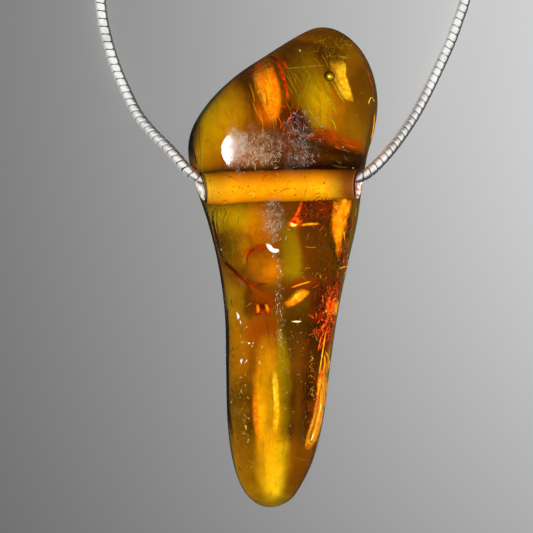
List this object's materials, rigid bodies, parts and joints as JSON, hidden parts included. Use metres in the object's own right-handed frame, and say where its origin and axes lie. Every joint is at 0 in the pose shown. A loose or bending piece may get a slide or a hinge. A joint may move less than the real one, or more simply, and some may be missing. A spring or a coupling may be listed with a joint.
{
  "type": "amber pendant",
  "caption": "Polished amber drop, drilled across its broad end and threaded on a round silver snake chain that ends in an eye and a hook.",
  "frame": {"origin": "under the middle of the stone, on the surface that its flat back lies on", "axes": "+X across the stone, +Y along it towards the broad drilled end, +Z out of its domed front"},
  "size_m": [0.0452, 0.079, 0.0124],
  "materials": {
    "amber": "polished, with fine scratches",
    "silver": "bright polished silver"
  },
  "bodies": {
    "root": {"amber": "amber", "chain_in_bore": "silver", "chain_left_run": "silver", "chain_right_run": "silver", "chain_coil": "silver", "chain_tail": "silver", "eye_end": "silver", "hook_end": "silver"}
  },
  "joints": []
}
